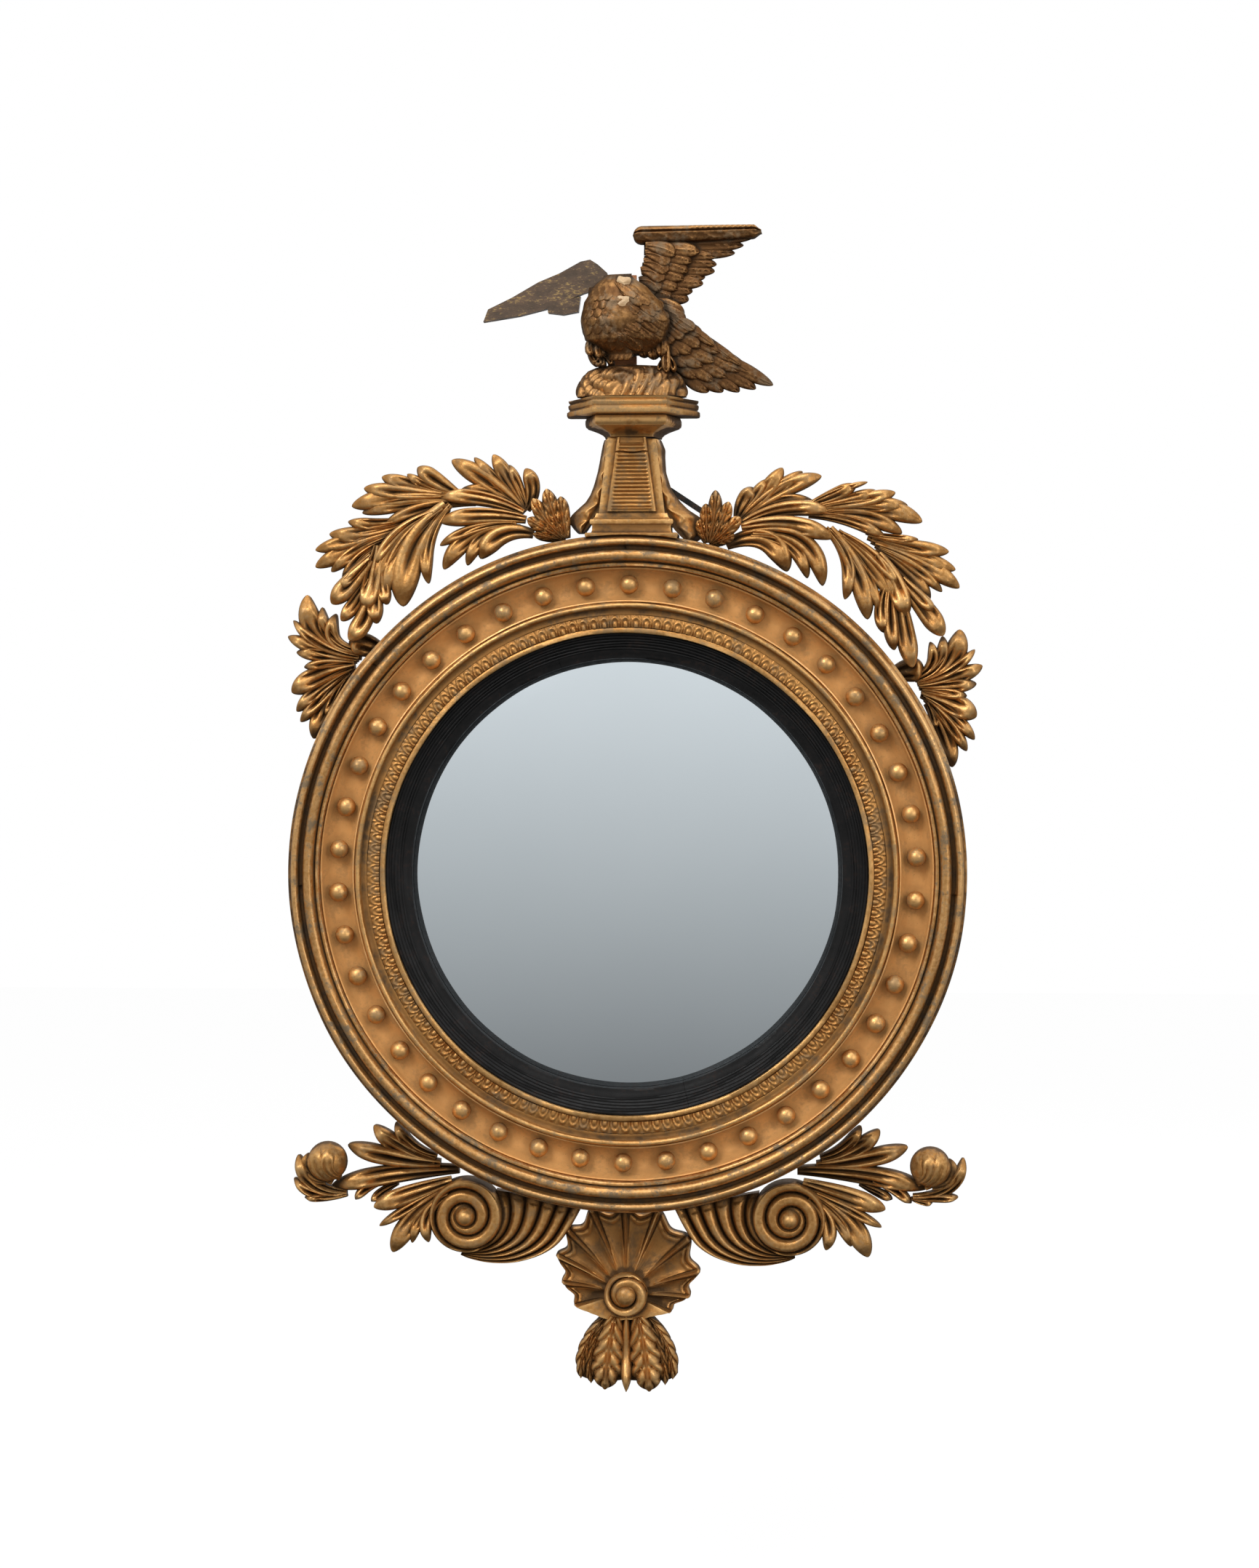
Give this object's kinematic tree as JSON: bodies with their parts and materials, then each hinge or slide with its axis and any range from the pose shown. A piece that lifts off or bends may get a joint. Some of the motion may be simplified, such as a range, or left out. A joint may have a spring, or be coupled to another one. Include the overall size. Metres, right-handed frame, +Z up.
{
  "type": "girandole mirror",
  "caption": "Round convex girandole mirror in a gilded ball-studded frame with an ebonised slip, eagle crest on a reeded plinth, acanthus sprays, scrolls, shell and leaf pendant.",
  "frame": {"origin": "centre of the round frame on the wall plane, which is the back of the carcass and backboard", "axes": "+Z up, +X to the viewer's right, +Y into the wall; the front faces -Y"},
  "size_m": [0.7357, 0.0872, 1.232],
  "materials": {
    "gilded_wood": "old water gilding over red bole, rubbed to grey-brown in the hollows",
    "ebonised_wood": "ebonised, satin, fine reeds",
    "mirror_glass": "convex silvered plate, slightly grey",
    "bare_pine": "old bare pine, dark with age",
    "wrought_iron": "blackened wrought iron",
    "screw_steel": "dull steel wood screws",
    "hanger_brass": "worn brass",
    "worn_brown_wood": "gilding lost, dark brown wood with pale specks",
    "terracotta_board": "red-brown painted board"
  },
  "bodies": {
    "frame": {"abacus": "gilded_wood", "backboard": "bare_pine", "ball_studs": "gilded_wood", "bud_left": "gilded_wood", "bud_right": "gilded_wood", "capital": "gilded_wood", "carcass_ring": "bare_pine", "cavetto_ring": "gilded_wood", "crest_back_strap": "wrought_iron", "drop_leaf_left": "gilded_wood", "drop_leaf_right": "gilded_wood", "eagle_body": "gilded_wood", "eagle_legs": "gilded_wood", "eagle_tail": "gilded_wood", "eagle_wing_plain": "worn_brown_wood", "eagle_wing_raised": "gilded_wood", "ebonised_slip_left": "ebonised_wood", "ebonised_slip_right": "ebonised_wood", "fan_leaf_left": "gilded_wood", "fan_leaf_right": "gilded_wood", "front_leaf_left": "gilded_wood", "front_leaf_right": "gilded_wood", "gadroon_crescent_left": "gilded_wood", "gadroon_crescent_right": "gilded_wood", "hanger_plates": "hanger_brass", "inner_moulding": "gilded_wood", "iron_brace_right": "wrought_iron", "leaf_ornament_band": "gilded_wood", "leaf_pendant": "gilded_wood", "lower_leaf_left": "gilded_wood", "lower_leaf_right": "gilded_wood", "main_leaf_left": "gilded_wood", "main_leaf_right": "gilded_wood", "mirror_plate": "mirror_glass", "outer_moulding_left": "gilded_wood", "outer_moulding_lower": "gilded_wood", "outer_moulding_upper_left": "gilded_wood", "outer_moulding_upper_right": "gilded_wood", "plate_blocks": "bare_pine", "plinth_base": "gilded_wood", "plinth_leaf_left": "gilded_wood", "plinth_leaf_right": "gilded_wood", "plinth_shaft": "gilded_wood", "reeded_panel": "gilded_wood", "rock_mound": "gilded_wood", "rosette_left": "gilded_wood", "rosette_right": "gilded_wood", "shell": "gilded_wood", "support_board": "terracotta_board", "top_leaf_left": "gilded_wood", "top_leaf_right": "gilded_wood", "under_leaf_left": "gilded_wood", "under_leaf_right": "gilded_wood", "upper_leaf_left": "gilded_wood", "upper_leaf_right": "gilded_wood", "volute_scroll_left": "gilded_wood", "volute_scroll_right": "gilded_wood", "wood_screws": "screw_steel"},
    "ring_left": {"hanging_ring_left": "hanger_brass"},
    "ring_right": {"hanging_ring_right": "hanger_brass"}
  },
  "joints": [
    {"name": "hanging_ring_left_swing", "type": "hinge", "parent": "frame", "child": "ring_left", "pos_m": [-0.15009, -0.0054, 0.26207], "axis": [1, 0, 0], "range_deg": [0, 180]},
    {"name": "hanging_ring_right_swing", "type": "hinge", "parent": "frame", "child": "ring_right", "pos_m": [0.15009, -0.0054, 0.26207], "axis": [1, 0, 0], "range_deg": [0, 180]}
  ]
}
